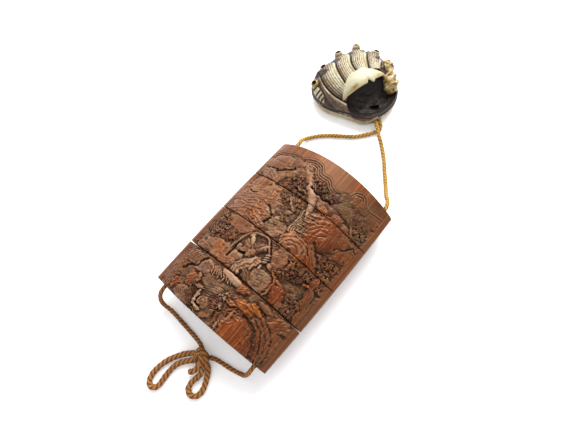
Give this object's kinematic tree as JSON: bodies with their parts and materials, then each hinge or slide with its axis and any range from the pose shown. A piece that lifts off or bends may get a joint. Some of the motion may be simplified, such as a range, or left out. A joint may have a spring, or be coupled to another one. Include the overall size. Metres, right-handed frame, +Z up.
{
  "type": "inro case with netsuke",
  "caption": "Flat carved bamboo case of nested sections, lying on its back, with a silk cord tied in a bow and a carved shell toggle.",
  "frame": {"origin": "under the middle of the box that just holds the case and the netsuke, on the surface they lie on", "axes": "+Y along the case from its foot to its lid and on towards the netsuke, +X across the case, +Z up out of its carved front"},
  "size_m": [0.0776, 0.1861, 0.0232],
  "materials": {
    "bamboo": "carved, stained brown and polished by handling",
    "carved_horn": "cream staghorn or ivory colour, dark stain in the hollows, polished",
    "silk_cord": "golden brown twisted silk"
  },
  "bodies": {
    "root": {"bottom_case": "bamboo", "lower_tray": "bamboo", "upper_tray": "bamboo", "lid": "bamboo", "netsuke_shell": "carved_horn", "cord_left": "silk_cord", "cord_right": "silk_cord", "bow_loop_left": "silk_cord", "bow_loop_lower": "silk_cord", "bow_knot": "silk_cord"}
  },
  "joints": []
}
